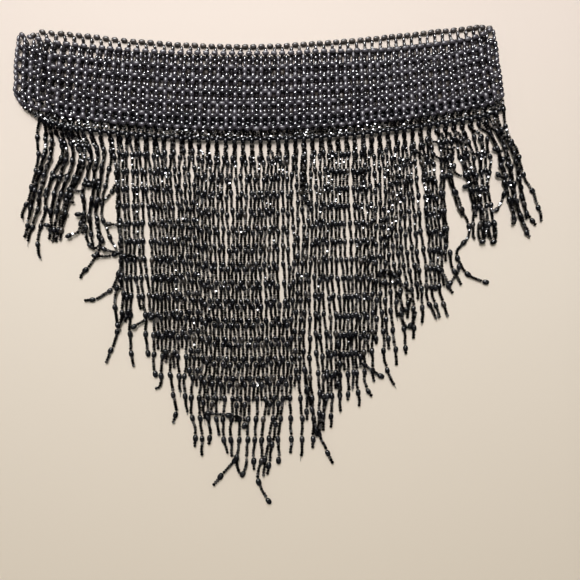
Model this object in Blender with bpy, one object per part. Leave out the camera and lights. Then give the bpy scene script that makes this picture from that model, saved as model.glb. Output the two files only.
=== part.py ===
"""Belly dance hip belt: a closed hoop of beaded net with a deep V of beaded fringe, laid flat.

The hoop lies in two layers, front on back, and each layer carries its own fringe. Every length
below is in millimetres. X runs along the belt, +Y points to its top edge and +Z up from the
surface that it lies on. The origin is on that surface, under the middle of the band.
"""

import math

import bpy

MM = 0.001  # metres in a millimetre

# Net: columns run down the band, rows run along it.
COLUMNS = 57  # net columns in one layer of the flattened hoop
ROWS = 7  # rows of beads that lie along the belt
LEFT_X = -178.6  # the left fold
LEFT_PITCH = 6.78  # column spacing at the left fold, where the net is slack
PITCH_LOSS = 0.0186  # what each further column loses, towards the tighter right fold
ROW_PITCH = 9.58  # two beads and a knot
BEAD_RADIUS = 1.6
PICOT_RISE = 1.2  # the top beads bow up over their windows
PICOT_DIP = 0.6

# Top line of the back layer, as a shallow sag.
SAG_LOW_Y = 35.3
SAG_LOW_X = -10.0
SAG_CURVE = 6.15e-4

# How far the layers hang below the top line, away from the folds and at them.
FRONT_DROP = 10.3
FOLDS = (
    {"side": "left", "reach": 24.0, "drop": 7.1},
    {"side": "right", "reach": 14.0, "drop": 6.3},
)

# How much lower than that each layer's first row hangs. It fades out at the last row.
ROW_SAG = (
    {"column": 9, "front": 0.0, "back": 0.0},
    {"column": 16, "front": -1.4, "back": 0.0},
    {"column": 24, "front": -2.2, "back": 0.0},
    {"column": 30, "front": -2.1, "back": 0.0},
    {"column": 33, "front": -2.0, "back": -1.1},
    {"column": 36, "front": -2.0, "back": -1.1},
    {"column": 43, "front": 1.6, "back": -1.1},
    {"column": 51, "front": 3.2, "back": 0.4},
    {"column": 57, "front": 0.0, "back": 0.0},
)

# The lower left corner is pulled in, and the lower right one leans out.
INSET = {"width": 19.5, "columns": 9.0, "start": 29.0, "down_power": 4.0, "across_power": 1.5}
FLARE = {"width": 3.0, "columns": 12.0, "across_power": 1.5}

# Walls.
WALL = 3.0
LAYER_GAP = 0.3
SEAM_GAP = 0.85
DIMPLE = 1.0  # depth of the windows' relief
FOLD_EDGE = 1.3  # wall thickness left at the rounded fold
FOLD_REACH = 0.25  # how far the folds' beads stand out past their columns, in columns
PUFF = {"height": 3.4, "reach": 38.0}  # the left fold stands a little open
DENSE_POINTS = 20  # points across the underside's left end, where it isn't plain
BACK_RELIEF_ROWS = 2  # rows of windows in the back layer's relief, as only its top shows
HEADER = 8.3  # from the last row of the net down to the fringe knots

# Fringe.
STRIP_HEIGHT = 2.6
STRIP_END = 0.3  # how far the strip goes on beyond its outermost strands, in columns
STRAND_WIDTH = 2.0
STRAND_HEIGHT = 2.0
STRAND_SPACE = 2.7  # least distance between the middles of neighbours, of either layer
BUNDLES = {"left": 10, "right": 49, "space": 2.4}  # columns beyond these lie closer
SPREAD_ROUNDS = 160  # passes that push neighbours apart evenly
FLOOR = 0.2  # underside of the fringe where it lies
FRONT_ROOT = 3.4  # underside of the front fringe at its strip
SETTLE = 20.0  # the drop in which it comes down between the strands of the back one
ORDER = {"front": -0.25, "back": 0.25}  # the layers' strands lie by turns
LEVEL_TOP = -35.0
LEVEL_STEP = 15.0
LEVELS = 18
SHORTEST = 24.0  # no strand is shorter
FIRST_LEVEL = 4.0  # least drop from a root to the strand's next ring
LAST_LEVEL = 1.5  # and from a ring to the tip

# Where the front fringe ends. Columns between two rows end between their tips.
HANG = (
    {"column": 0, "tip_x": -163, "tip_y": -113},
    {"column": 2, "tip_x": -154, "tip_y": -114},
    {"column": 4, "tip_x": -140, "tip_y": -117},
    {"column": 6, "tip_x": -133, "tip_y": -114},
    {"column": 8, "tip_x": -115, "tip_y": -128},
    {"column": 10, "tip_x": -93, "tip_y": -142},
    {"column": 12, "tip_x": -80, "tip_y": -196},
    {"column": 14, "tip_x": -66, "tip_y": -199},
    {"column": 16, "tip_x": -52, "tip_y": -218},
    {"column": 19, "tip_x": -41, "tip_y": -236},
    {"column": 20, "tip_x": -34, "tip_y": -264},
    {"column": 23, "tip_x": -20, "tip_y": -246},
    {"column": 26, "tip_x": -8, "tip_y": -264},
    {"column": 29, "tip_x": 10, "tip_y": -285},
    {"column": 31, "tip_x": 20, "tip_y": -274},
    {"column": 33, "tip_x": 33, "tip_y": -264},
    {"column": 35, "tip_x": 47, "tip_y": -249},
    {"column": 37, "tip_x": 59, "tip_y": -236},
    {"column": 39, "tip_x": 71, "tip_y": -231},
    {"column": 41, "tip_x": 82, "tip_y": -216},
    {"column": 43, "tip_x": 96, "tip_y": -207},
    {"column": 45, "tip_x": 109, "tip_y": -187},
    {"column": 47, "tip_x": 121, "tip_y": -171},
    {"column": 49, "tip_x": 134, "tip_y": -156},
    {"column": 51, "tip_x": 142, "tip_y": -132},
    {"column": 52, "tip_x": 157, "tip_y": -117},
    {"column": 54, "tip_x": 165, "tip_y": -116},
    {"column": 57, "tip_x": 190, "tip_y": -104},
)
LEAN_POWER = 1.3  # strands leave the band straight and lean further down
BACK_SHARE = 0.94  # length of the back fringe, beside the front's
RAGGED = {"front": 0.03, "back": 0.08}  # scatter of the lengths
SHORTER = 0.6  # how far that scatter leans towards short strands

# Strands that gather: from one column to another, towards x at y, by the share 'pull'.
GATHERS = (
    {"first": 3.6, "last": 6.6, "x": -135, "y": -92, "pull": 0.60},
    {"first": 6.7, "last": 9.4, "x": -112, "y": -96, "pull": 0.50},
    {"first": 9.5, "last": 12.4, "x": -90, "y": -118, "pull": 0.40},
    {"first": 14.6, "last": 17.4, "x": -60, "y": -150, "pull": 0.30},
    {"first": 38.6, "last": 41.4, "x": 79, "y": -130, "pull": 0.25},
    {"first": 46.6, "last": 50.4, "x": 129, "y": -96, "pull": 0.35},
    {"first": 51.6, "last": 54.6, "x": 160, "y": -92, "pull": 0.65},
)

# Strands that lie their own way: from bend_y through one or two places to the tip.
STRAYS = (
    {"layer": "front", "column": 0, "path": ((-157, -50), (-158, -78), (-162, -99), (-163, -113))},
    {"layer": "front", "column": 1, "path": ((-152, -50), (-153, -82), (-155, -100), (-156, -120))},
    {"layer": "front", "column": 3, "path": ((-144, -60), (-148, -92), (-152, -118), (-146, -130))},
    {"layer": "front", "column": 7, "path": ((-121, -70), (-116, -107), (-110, -125), (-118, -143))},
    {"layer": "front", "column": 9, "path": ((-111, -70), (-98, -115), (-90, -138), (-110, -158))},
    {"layer": "front", "column": 10, "path": ((-106, -70), (-89, -147), (-90, -172), (-97, -200))},
    {"layer": "front", "column": 11, "path": ((-84, -150), (-84, -181), (-79, -201))},
    {"layer": "front", "column": 13, "path": ((-70, -180), (-76, -204), (-79, -214))},
    {"layer": "front", "column": 16, "path": ((-51, -192), (-57, -210), (-67, -217))},
    {"layer": "front", "column": 17, "path": ((-47, -202), (-48, -220), (-51, -240))},
    {"layer": "front", "column": 24, "path": ((-20, -240), (-14, -259))},
    {"layer": "front", "column": 26, "path": ((-7, -257), (-14, -266), (-24, -278))},
    {"layer": "front", "column": 29, "path": ((7, -264), (13, -289))},
    {"layer": "back", "column": 30, "path": ((12, -256), (2, -272))},
    {"layer": "back", "column": 34, "path": ((44, -248), (53, -265))},
    {"layer": "front", "column": 40, "path": ((70, -211), (78, -223))},
    {"layer": "front", "column": 42, "path": ((88, -203), (95, -217))},
    {"layer": "back", "column": 46, "path": ((118, -157), (129, -172))},
    {"layer": "front", "column": 48, "path": ((127, -140), (132, -169))},
    {"layer": "front", "column": 50, "path": ((134, -100), (136, -128), (142, -147))},
    {"layer": "back", "column": 50, "path": ((135, -70), (138, -120), (148, -141), (160, -146))},
    {"layer": "back", "column": 51, "path": ((140, -58), (147, -77), (154, -97))},
    {"layer": "front", "column": 51, "path": ((138, -62), (146, -80), (152, -100))},
    {"layer": "back", "column": 52, "path": ((150, -62), (155, -92), (158, -114))},
    {"layer": "back", "column": 54, "path": ((169, -62), (176, -72), (172, -90), (166, -96))},
    {"layer": "back", "column": 55, "path": ((181, -68), (185, -99), (194, -112))},
    {"layer": "front", "column": 55, "path": ((179, -55), (182, -80), (188, -98))},
    {"layer": "front", "column": 56, "path": ((183, -58), (189, -74), (196, -89), (197, -104))},
    {"layer": "front", "column": 57, "path": ((186, -46), (190, -64), (200, -87), (202, -101))},
)

SPLIT = {"width": 1.6, "depth": 20.0}  # a front strand slides off the back one under it
CALM = 6.0  # columns at each side over which groups stop swaying
LOOSEN = 45.0  # the drop over which strands come free to sway
SWAY = {"width": 2.2, "length": 150.0, "along": 46.0}  # groups of strands swing together
WANDER = {"width": 0.6, "length": 64.0}  # and each strand wavers by itself

# Seeds of the scatter.
SEED_LENGTH = 3.7
SEED_WANDER = {"front": 5.0, "back": 11.0}


# ---------------------------------------------------------------- the lie of the net


def smooth(value):
    """0 to 1 along an S curve, held outside that range."""
    value = min(max(value, 0.0), 1.0)
    return value * value * (3.0 - 2.0 * value)


def between(table, key, at, field):
    """A field of a table of named columns, straight between the rows beside at."""
    if at <= table[0][key]:
        return float(table[0][field])
    for low, high in zip(table, table[1:]):
        if at <= high[key]:
            share = (at - low[key]) / (high[key] - low[key])
            return low[field] + share * (high[field] - low[field])
    return float(table[-1][field])


def scatter(a, b):
    """A repeatable scatter from -1 to 1."""
    value = math.sin(a * 12.9898 + b * 78.233) * 43758.5453
    return 2.0 * (value - math.floor(value)) - 1.0


def column_x(column):
    """Where a column stands at the top of the band."""
    return LEFT_X + LEFT_PITCH * column - 0.5 * PITCH_LOSS * column * column


def net_x(column, down):
    """A column's place at a depth below the first row."""
    x = column_x(column)
    depth = max(0.0, down - INSET["start"]) / (net_depth() - INSET["start"])
    near_left = max(0.0, 1.0 - column / INSET["columns"])
    x += INSET["width"] * depth ** INSET["down_power"] * near_left ** INSET["across_power"]
    near_right = max(0.0, 1.0 - (COLUMNS - column) / FLARE["columns"])
    lean = FLARE["width"] * max(0.0, down) / net_depth()
    return x + lean * near_right ** FLARE["across_power"]


def net_depth():
    """From the first row down to the fringe knots."""
    return (ROWS - 1) * ROW_PITCH + HEADER


def wall_foot():
    """The depth at which the wall ends, just above the strip."""
    return net_depth() - 0.5 * STRIP_HEIGHT - SEAM_GAP


def layer_drop(column, layer):
    """How far a layer hangs below the top line. Both layers meet at the folds."""
    flat_drop = FRONT_DROP if layer == "front" else 0.0
    drop = flat_drop
    distance = {
        "left": column_x(column) - LEFT_X,
        "right": column_x(COLUMNS) - column_x(column),
    }
    for fold in FOLDS:
        near = max(0.0, 1.0 - distance[fold["side"]] / fold["reach"])
        drop += (fold["drop"] - flat_drop) * near * near
    return drop


def row_sag(column, down, layer):
    """How much lower a row hangs than its even spacing has it."""
    share = max(0.0, 1.0 - max(0.0, down) / ((ROWS - 1) * ROW_PITCH))
    return share * between(ROW_SAG, "column", column, layer)


def net_y(column, down, layer):
    x = column_x(column)
    top = SAG_LOW_Y + SAG_CURVE * (x - SAG_LOW_X) ** 2
    return top - layer_drop(column, layer) - down - row_sag(column, down, layer)


def puff(column):
    """How far the front layer stands up from the back one beside the left fold."""
    along = (column_x(column) - LEFT_X) / PUFF["reach"]
    return PUFF["height"] * math.sin(math.pi * along) ** 2 if along < 1.0 else 0.0


# ---------------------------------------------------------------- the walls of the band


def wall_depths(relief_rows):
    """The wall's rows of points: on each row of beads, and between them where there is relief."""
    depths = [-BEAD_RADIUS]
    for row in range(relief_rows):
        depths.append(row * ROW_PITCH)
        depths.append((row + 0.5) * ROW_PITCH)
    if relief_rows == ROWS:
        depths[-1] = (ROWS - 1) * ROW_PITCH + 0.5 * HEADER
    for row in range(relief_rows, ROWS):
        depths.append(row * ROW_PITCH)
    depths.append(wall_foot())
    return depths


def edge_rise(half_column, depth_index):
    """The scalloped top edge: up over each window, down at each column."""
    if depth_index > 0:
        return 0.0
    return PICOT_RISE if half_column % 2 else -PICOT_DIP


def relief(half_column, depth_index, relief_rows):
    """The windows between the beads, as dimples."""
    window = half_column % 2 == 1 and depth_index % 2 == 0
    return DIMPLE if window and 0 < depth_index <= 2 * relief_rows else 0.0


def wall_column(half):
    """The column at a point across the wall, which takes in the folds' outer beads."""
    return {0: -FOLD_REACH, 2 * COLUMNS: COLUMNS + FOLD_REACH}.get(half, 0.5 * half)


def wall_points(layer, depths, height):
    """Rows of points across the layer, at the height that the function gives."""
    points = []
    for index, depth in enumerate(depths):
        row = []
        for half in range(2 * COLUMNS + 1):
            column = wall_column(half)
            x = net_x(column, depth)
            y = net_y(column, depth, layer) + edge_rise(half, index)
            row.append((x, y, height(half, index)))
        points.append(row)
    return points


def grid_faces(start, rows, columns, upwards):
    faces = []
    for r in range(rows - 1):
        for c in range(columns - 1):
            a = start + r * columns + c
            b, d, e = a + 1, a + columns, a + columns + 1
            faces.append((a, d, e, b) if upwards else (a, b, e, d))
    return faces


def wall_mesh(upper, lower, dense):
    """A closed wall. The lower face is a full grid as far as column point 'dense', and one
    plain strip beyond it."""
    rows = len(upper)
    columns = len(upper[0])
    points = [p for row in upper for p in row]
    faces = grid_faces(0, rows, columns, True)
    index = {}
    for r in range(rows):
        for c in range(columns):
            if c <= dense or r in (0, rows - 1) or c == columns - 1:
                index[r, c] = len(points)
                points.append(lower[r][c])
    for r in range(rows - 1):
        for c in range(dense):
            corners = [(r, c), (r, c + 1), (r + 1, c + 1), (r + 1, c)]
            faces.append(tuple(index[k] for k in corners))
    last = rows - 1
    for r in range(last):  # from the dense grid to the first plain strip
        corners = [(r, dense), (0, dense + 1), (r + 1, dense)]
        faces.append(tuple(index[k] for k in corners))
    faces.append((index[last, dense], index[0, dense + 1], index[last, dense + 1]))
    for c in range(dense + 1, columns - 2):
        corners = [(0, c), (0, c + 1), (last, c + 1), (last, c)]
        faces.append(tuple(index[k] for k in corners))
    near = columns - 2
    for r in range(last):  # from the last plain strip to the right end
        corners = [(last, near), (r, columns - 1), (r + 1, columns - 1)]
        faces.append(tuple(index[k] for k in corners))
    faces.append((index[0, near], index[0, columns - 1], index[last, near]))
    for c in range(columns - 1):  # top and bottom edges
        top = (c, c + 1, index[0, c + 1], index[0, c])
        faces.append(top)
        low = last * columns + c
        faces.append((low, index[last, c], index[last, c + 1], low + 1))
    for r in range(last):  # left and right edges
        left = r * columns
        faces.append((left, index[r, 0], index[r + 1, 0], left + columns))
        right = left + columns - 1
        here = index[r, columns - 1]
        faces.append((right, right + columns, index[r + 1, columns - 1], here))
    return points, faces


def fold_cut(half):
    """What the rounded fold takes off the wall at its outermost points."""
    return WALL - FOLD_EDGE if half in (0, 2 * COLUMNS) else 0.0


def front_wall():
    depths = wall_depths(ROWS)
    floor = WALL + LAYER_GAP

    def top(half, index):
        height = floor + WALL + puff(0.5 * half)
        return height - relief(half, index, ROWS) - fold_cut(half)

    def bottom(half, index):
        return floor + puff(0.5 * half)

    upper = wall_points("front", depths, top)
    lower = wall_points("front", depths, bottom)
    return wall_mesh(upper, lower, DENSE_POINTS)


def back_wall():
    depths = wall_depths(BACK_RELIEF_ROWS)

    def top(half, index):
        return WALL - relief(half, index, BACK_RELIEF_ROWS)

    def bottom(half, index):
        return fold_cut(half) * 0.5

    upper = wall_points("back", depths, top)
    lower = wall_points("back", depths, bottom)
    return wall_mesh(upper, lower, DENSE_POINTS)


# ---------------------------------------------------------------- the fringe


def strip_edge(column, layer, side):
    """A point of the strip's upper edge (side -1) or lower edge (side 1)."""
    down = net_depth() + side * 0.5 * STRIP_HEIGHT
    return net_x(column, wall_foot()), net_y(column, down, layer)


def root_of(column, layer):
    """Where a strand leaves the lower edge of its strip."""
    return strip_edge(column, layer, 1)


def stray_path(column, layer):
    for stray in STRAYS:
        if stray["layer"] == layer and stray["column"] == column:
            return stray["path"]
    return None


def tip_y_of(column, layer):
    path = stray_path(column, layer)
    if path:
        return float(path[-1][1])
    root = root_of(column, layer)[1]
    length = root_of(column, "front")[1] - between(HANG, "column", column, "tip_y")
    if layer == "back":
        length *= BACK_SHARE
    length *= 1.0 + RAGGED[layer] * (scatter(column, SEED_LENGTH) - SHORTER)
    return root - max(length, SHORTEST)


def gathered(x, column, y):
    """x pulled towards the middle of the gather that the column belongs to."""
    for gather in GATHERS:
        if gather["first"] <= column <= gather["last"]:
            root_y = root_of(column, "front")[1]
            reach = smooth((root_y - y) / (root_y - gather["y"]))
            return x + gather["pull"] * reach * (gather["x"] - x)
    return x


def hanging_x(column, layer, y):
    """Where a strand would lie at the height y if it hung with its group."""
    root_x, root_y = root_of(column, layer)
    depth = max(root_y - y, 0.0)
    fall = root_y - between(HANG, "column", column, "tip_y")
    lean = between(HANG, "column", column, "tip_x") - root_x
    x = root_x + lean * (depth / fall) ** LEAN_POWER
    side = -1.0 if layer == "front" else 1.0
    x += side * SPLIT["width"] * smooth(depth / SPLIT["depth"])
    edge = smooth(min(column, COLUMNS - column) / CALM)
    ease = smooth(depth / LOOSEN) * edge
    turn = depth / SWAY["length"] + root_x / SWAY["along"]
    x += ease * SWAY["width"] * math.sin(2.0 * math.pi * turn)
    turn = depth / WANDER["length"] + 0.5 * scatter(column, SEED_WANDER[layer])
    x += ease * WANDER["width"] * math.sin(2.0 * math.pi * turn)
    return gathered(x, column, y)


def free_x(column, layer, y):
    """Where a strand would lie at the height y, if it had no neighbours."""
    path = stray_path(column, layer)
    if not path:
        return hanging_x(column, layer, y)
    root = root_of(column, layer)
    first_x, first_y = path[0]
    if y > first_y:
        share = smooth((root[1] - y) / (root[1] - first_y))
        x = hanging_x(column, layer, y)
        return x + share * (first_x - hanging_x(column, layer, first_y))
    for (high_x, high_y), (low_x, low_y) in zip(path, path[1:]):
        if y >= low_y:
            return high_x + (low_x - high_x) * (high_y - y) / (high_y - low_y)
    (high_x, high_y), (low_x, low_y) = path[-2:]
    return high_x + (low_x - high_x) * (high_y - y) / (high_y - low_y)


def space_after(column):
    """The least distance from a column's strand to the next one."""
    bundled = column < BUNDLES["left"] or column > BUNDLES["right"]
    return BUNDLES["space"] if bundled else STRAND_SPACE


def spread(places, spaces):
    """Neighbours pushed apart until each pair has its least distance."""
    places = list(places)
    for _ in range(SPREAD_ROUNDS):
        for i in range(len(places) - 1):
            lack = max(0.0, spaces[i] - (places[i + 1] - places[i]))
            places[i] -= 0.5 * lack
            places[i + 1] += 0.5 * lack
    for i in range(len(places) - 1):
        places[i + 1] = max(places[i + 1], places[i] + spaces[i])
    return places


def layer_columns(layer):
    """The front carries the strands at both folds as well."""
    return range(0, COLUMNS + 1) if layer == "front" else range(1, COLUMNS)


def strand_routes():
    """For each layer's strands, by column, the points (x, y) from the root to the tip."""
    levels = [LEVEL_TOP - LEVEL_STEP * k for k in range(LEVELS)]
    strands = [(layer, c) for layer in ORDER for c in layer_columns(layer)]
    strands.sort(key=lambda strand: strand[1] + ORDER[strand[0]])
    roots = {s: root_of(s[1], s[0]) for s in strands}
    tips = {s: tip_y_of(s[1], s[0]) for s in strands}
    placed = {s: [roots[s]] for s in strands}
    for k, y in enumerate(levels):
        above = levels[k - 1] if k else y + LEVEL_STEP
        here = [s for s in strands if roots[s][1] - FIRST_LEVEL > y and tips[s] < above]
        free = [free_x(c, layer, y) for layer, c in here]
        for s, x in zip(here, spread(free, [space_after(c) for _, c in here])):
            placed[s].append((x, y))
    routes = {layer: {} for layer in ORDER}
    for layer, column in strands:
        route = placed[layer, column]
        routes[layer][column] = cut_at(route, tips[layer, column])
    return routes


def cut_at(route, tip_y):
    """The route as far as the height of its tip."""
    kept = [p for p in route if p[1] > tip_y + LAST_LEVEL]
    low = route[len(kept)] if len(kept) < len(route) else route[-1]
    high = kept[-1]
    share = (high[1] - tip_y) / (high[1] - low[1]) if high[1] != low[1] else 0.0
    return kept + [(high[0] + share * (low[0] - high[0]), tip_y)]


def fringe_mesh(layer, routes):
    """A narrow strip with every strand of its layer fused to its lower edge."""
    root_z = FLOOR if layer == "back" else FRONT_ROOT
    half = 0.5 * STRAND_WIDTH
    points = []
    faces = []

    def point(x, y, z):
        points.append((x, y, z))
        return len(points) - 1

    def ring(x, y, z):
        low_left = point(x - half, y, z)
        low_right = point(x + half, y, z)
        return low_left, low_right, point(x, y, z + STRAND_HEIGHT)

    def edge_pair(column, side):
        """A point of the strip's edge, on its underside and on its top."""
        x, y = strip_edge(column, layer, side)
        return point(x, y, root_z), point(x, y, root_z + STRAND_HEIGHT)

    columns = layer_columns(layer)
    left_end = columns[0] - STRIP_END
    right_end = columns[-1] + STRIP_END
    left = (*edge_pair(left_end, 1), *edge_pair(left_end, -1))
    right = (*edge_pair(right_end, 1), *edge_pair(right_end, -1))
    roots = []
    for column in columns:
        route = routes[column]
        x, y = route[0]
        first = ring(x, y, root_z)
        roots.append((*first, *edge_pair(column, -1)))
        before = first
        for px, py in route[1:]:
            z = root_z + (FLOOR - root_z) * smooth((y - py) / SETTLE)
            after = ring(px, py, z)
            for i in range(3):
                j = (i + 1) % 3
                faces.append((before[i], before[j], after[j], after[i]))
            before = after
        faces.append(before)
    a = left
    for low_left, low_right, apex, upper, crown in roots:
        front_low, front_high, back_low, back_high = a
        faces.append((front_low, low_left, apex, front_high))
        faces.append((back_low, upper, low_left, front_low))
        faces.append((back_high, front_high, apex, crown))
        faces.append((back_low, back_high, crown, upper))
        faces.append((upper, low_right, low_left))
        a = (low_right, apex, upper, crown)
    front_low, front_high, back_low, back_high = a
    faces.append((front_low, right[0], right[1], front_high))
    faces.append((back_low, right[2], right[0], front_low))
    faces.append((back_high, front_high, right[1], right[3]))
    faces.append((back_low, back_high, right[3], right[2]))
    faces.append((left[0], left[1], left[3], left[2]))
    faces.append((right[0], right[2], right[3], right[1]))
    return points, faces


# ---------------------------------------------------------------- objects


def glossy(name, colour, roughness, metallic):
    material = bpy.data.materials.new(name)
    material.use_nodes = True
    shader = material.node_tree.nodes["Principled BSDF"]
    shader.inputs["Base Color"].default_value = (*colour, 1.0)
    shader.inputs["Roughness"].default_value = roughness
    shader.inputs["Metallic"].default_value = metallic
    return material


def add_piece(name, points, faces, material):
    mesh = bpy.data.meshes.new(name)
    mesh.from_pydata([(x * MM, y * MM, z * MM) for x, y, z in points], [], faces)
    mesh.update()
    mesh.materials.append(material)
    piece = bpy.data.objects.new(name, mesh)
    bpy.context.scene.collection.objects.link(piece)
    return piece


def main():
    for old in list(bpy.data.objects):
        bpy.data.objects.remove(old, do_unlink=True)
    front = glossy("front_net", (0.018, 0.016, 0.020), 0.22, 0.0)
    back = glossy("back_net", (0.022, 0.019, 0.020), 0.26, 0.0)
    front_fringe = glossy("front_fringe", (0.020, 0.018, 0.018), 0.24, 0.0)
    back_fringe = glossy("back_fringe", (0.024, 0.021, 0.019), 0.28, 0.0)
    add_piece("band_back", *back_wall(), back)
    add_piece("band_front", *front_wall(), front)
    routes = strand_routes()
    add_piece("fringe_back", *fringe_mesh("back", routes["back"]), back_fringe)
    add_piece("fringe_front", *fringe_mesh("front", routes["front"]), front_fringe)


main()
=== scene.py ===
# Belly dance hip belt: a hoop of beaded net laid flat in two layers, with a deep V of beaded fringe.
import math

import bpy
import numpy as np
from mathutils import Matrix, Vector
from mathutils.kdtree import KDTree


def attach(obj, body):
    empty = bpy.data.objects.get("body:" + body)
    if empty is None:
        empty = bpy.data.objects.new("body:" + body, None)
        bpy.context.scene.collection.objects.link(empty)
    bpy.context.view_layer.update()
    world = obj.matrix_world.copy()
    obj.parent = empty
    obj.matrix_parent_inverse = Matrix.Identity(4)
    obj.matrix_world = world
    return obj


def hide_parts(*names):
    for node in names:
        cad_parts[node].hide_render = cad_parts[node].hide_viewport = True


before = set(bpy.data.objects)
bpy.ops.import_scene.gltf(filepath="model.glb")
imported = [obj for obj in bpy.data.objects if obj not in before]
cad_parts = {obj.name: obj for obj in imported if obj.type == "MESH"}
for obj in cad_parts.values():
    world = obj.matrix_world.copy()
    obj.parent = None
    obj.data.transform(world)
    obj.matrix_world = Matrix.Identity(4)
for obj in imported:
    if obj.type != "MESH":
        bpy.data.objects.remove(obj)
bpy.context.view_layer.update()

mm = 0.001
print("frame loaded")

# The lie of the net, in millimetres. X runs along the belt and +Y to its top edge.
net = {
    "columns": 57, "rows": 7,
    "leftX": -178.6, "leftPitch": 6.78, "pitchLoss": 0.0186,
    "rowPitch": 9.58, "header": 8.3,
    "picotRise": 1.2,               # the top beads bow up over their windows
    "lowY": 35.3, "lowX": -10.0, "curve": 6.15e-4,
    "frontDrop": 10.3,              # the front layer hangs below the back one
    "leftReach": 24.0, "leftDrop": 7.1,
    "rightReach": 14.0, "rightDrop": 6.3,
    "insetWidth": 19.5, "insetColumns": 9.0, "insetStart": 29.0, "insetDown": 4.0, "insetAcross": 1.5,
    "flareWidth": 3.0, "flareColumns": 12.0, "flareAcross": 1.5,
    "puffHeight": 3.4, "puffReach": 38.0,   # the left fold stands a little open
    "backZ": 1.65, "frontZ": 4.85, "foldZ": 3.25,
    "slip": 0.5, "slipFrom": 1.0, "slipOver": 17.0, "slipBack": 54.0,  # the back layer slips half a column
    "backRowPitch": 9.15, "closerOver": 3.0,   # and its rows lie a little closer, away from the folds
}
rowSags = [  # column, front, back: how much lower each first row hangs
    (0, 1.0, 1.0), (4, 2.0, 1.2), (6, 0.4, 0.0), (9, 0.0, 0.0), (16, -1.4, 0.0), (24, -2.2, 0.0),
    (30, -2.1, 0.0), (33, -2.0, -1.1), (36, -2.0, -1.1), (43, 1.6, -1.1), (51, 3.2, 0.6),
    (54, 2.6, 2.4), (56, 1.6, 2.2), (57, 1.4, 1.4),
]


def smooth(value):
    value = min(max(value, 0.0), 1.0)
    return value * value * (3.0 - 2.0 * value)


def between(table, at, field):  # straight between the rows beside at
    return float(np.interp(at, [row[0] for row in table], [row[field] for row in table]))


def scatter(a, b):  # a repeatable scatter from -1 to 1, and odd numbers in its calls keep the draws apart
    value = math.sin(a * 12.9898 + b * 78.233) * 43758.5453
    return 2.0 * (value - math.floor(value)) - 1.0


def columnX(column):
    return net["leftX"] + net["leftPitch"] * column - 0.5 * net["pitchLoss"] * column * column


def netDepth():
    return (net["rows"] - 1) * net["rowPitch"] + net["header"]


def netX(column, down):
    depth = max(0.0, down - net["insetStart"]) / (netDepth() - net["insetStart"])
    nearLeft = max(0.0, 1.0 - column / net["insetColumns"])
    x = columnX(column) + net["insetWidth"] * depth ** net["insetDown"] * nearLeft ** net["insetAcross"]
    nearRight = max(0.0, 1.0 - (net["columns"] - column) / net["flareColumns"])
    return x + net["flareWidth"] * max(0.0, down) / netDepth() * nearRight ** net["flareAcross"]


def layerDrop(column, layer):
    flat = net["frontDrop"] if layer == "front" else 0.0
    nearLeft = max(0.0, 1.0 - (columnX(column) - net["leftX"]) / net["leftReach"])
    nearRight = max(0.0, 1.0 - (columnX(net["columns"]) - columnX(column)) / net["rightReach"])
    left = (net["leftDrop"] - flat) * nearLeft * nearLeft
    return flat + left + (net["rightDrop"] - flat) * nearRight * nearRight


def netY(column, down, layer):
    top = net["lowY"] + net["curve"] * (columnX(column) - net["lowX"]) ** 2
    share = max(0.0, 1.0 - max(0.0, down) / ((net["rows"] - 1) * net["rowPitch"]))
    sag = share * between(rowSags, column, 1 if layer == "front" else 2)
    return top - layerDrop(column, layer) - down - sag


def slipped(column, layer):  # how far a back column lies out of step with the front, in millimetres
    if layer == "front":
        return 0.0
    share = smooth((column - net["slipFrom"]) / net["slipOver"])
    share -= smooth((column - net["slipBack"]) / (net["columns"] - net["slipBack"]))
    return net["slip"] * share * (columnX(column + 1) - columnX(column))


def netZ(column, layer):  # the layers meet at the folds
    edge = min(column, net["columns"] - column)
    flat = net["frontZ"] if layer == "front" else net["backZ"]
    z = net["foldZ"] + (flat - net["foldZ"]) * min(1.0, edge)
    along = (columnX(column) - net["leftX"]) / net["puffReach"]
    if layer == "front" and 0.0 < along < 1.0:
        z += net["puffHeight"] * math.sin(math.pi * along) ** 2
    return z


# The lie of the fringe. At each level its strands hang freely first, and are then combed apart.
fringe = {
    "levelTop": -35.0, "levelStep": 15.0, "levels": 18, "spreadRounds": 160,
    "order": {"front": -0.25, "back": 0.25},   # a front strand lies left of the back one
    "space": 2.7, "nearSpace": 2.15, "nearRight": 48,
    "pairedSpace": 2.5, "paired": 10,          # up to this column a back strand hides behind its front one
    "bundleSpace": 1.5, "bundleLeft": 12, "bundleRight": 53,
    "firstLevel": 4.0, "lastLevel": 1.5,       # levels nearer than this to a strand's ends are left out
    "leanPower": 1.3, "stripHalf": 1.3, "seam": 0.85,
    "shortest": 24.0, "backShare": 0.94, "ragged": {"front": 0.03, "back": 0.08}, "shorter": 0.6,
    "splitWidth": 1.6, "splitDepth": 20.0,     # a pair parts this far on each side
    "calm": 6.0, "loosen": 45.0,               # the sways grow over these columns and this depth
    "swayWidth": 1.2, "swayLength": 150.0, "swayAlong": 46.0,
    "wanderWidth": 0.6, "wanderLength": 64.0, "wanderDraws": {"front": 5.0, "back": 11.0},
    "behind": 0.0055, "seenFrom": 25.0,        # a hidden strand lies this share further from seenFrom
}
hang = [  # column, tip x, tip y of the front fringe
    (0, -163, -113), (2, -154, -114), (4, -140, -117), (6, -133, -114), (8, -115, -128),
    (10, -93, -142), (12, -80, -196), (14, -66, -199), (16, -52, -218), (19, -41, -236),
    (20, -34, -264), (23, -20, -246), (26, -8, -264), (29, 10, -285), (31, 20, -274),
    (33, 33, -264), (35, 47, -249), (37, 59, -236), (39, 71, -231), (41, 82, -216),
    (43, 96, -207), (45, 109, -187), (47, 121, -171), (49, 134, -156), (51, 142, -132),
    (52, 157, -117), (54, 165, -116), (57, 190, -104),
]
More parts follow.
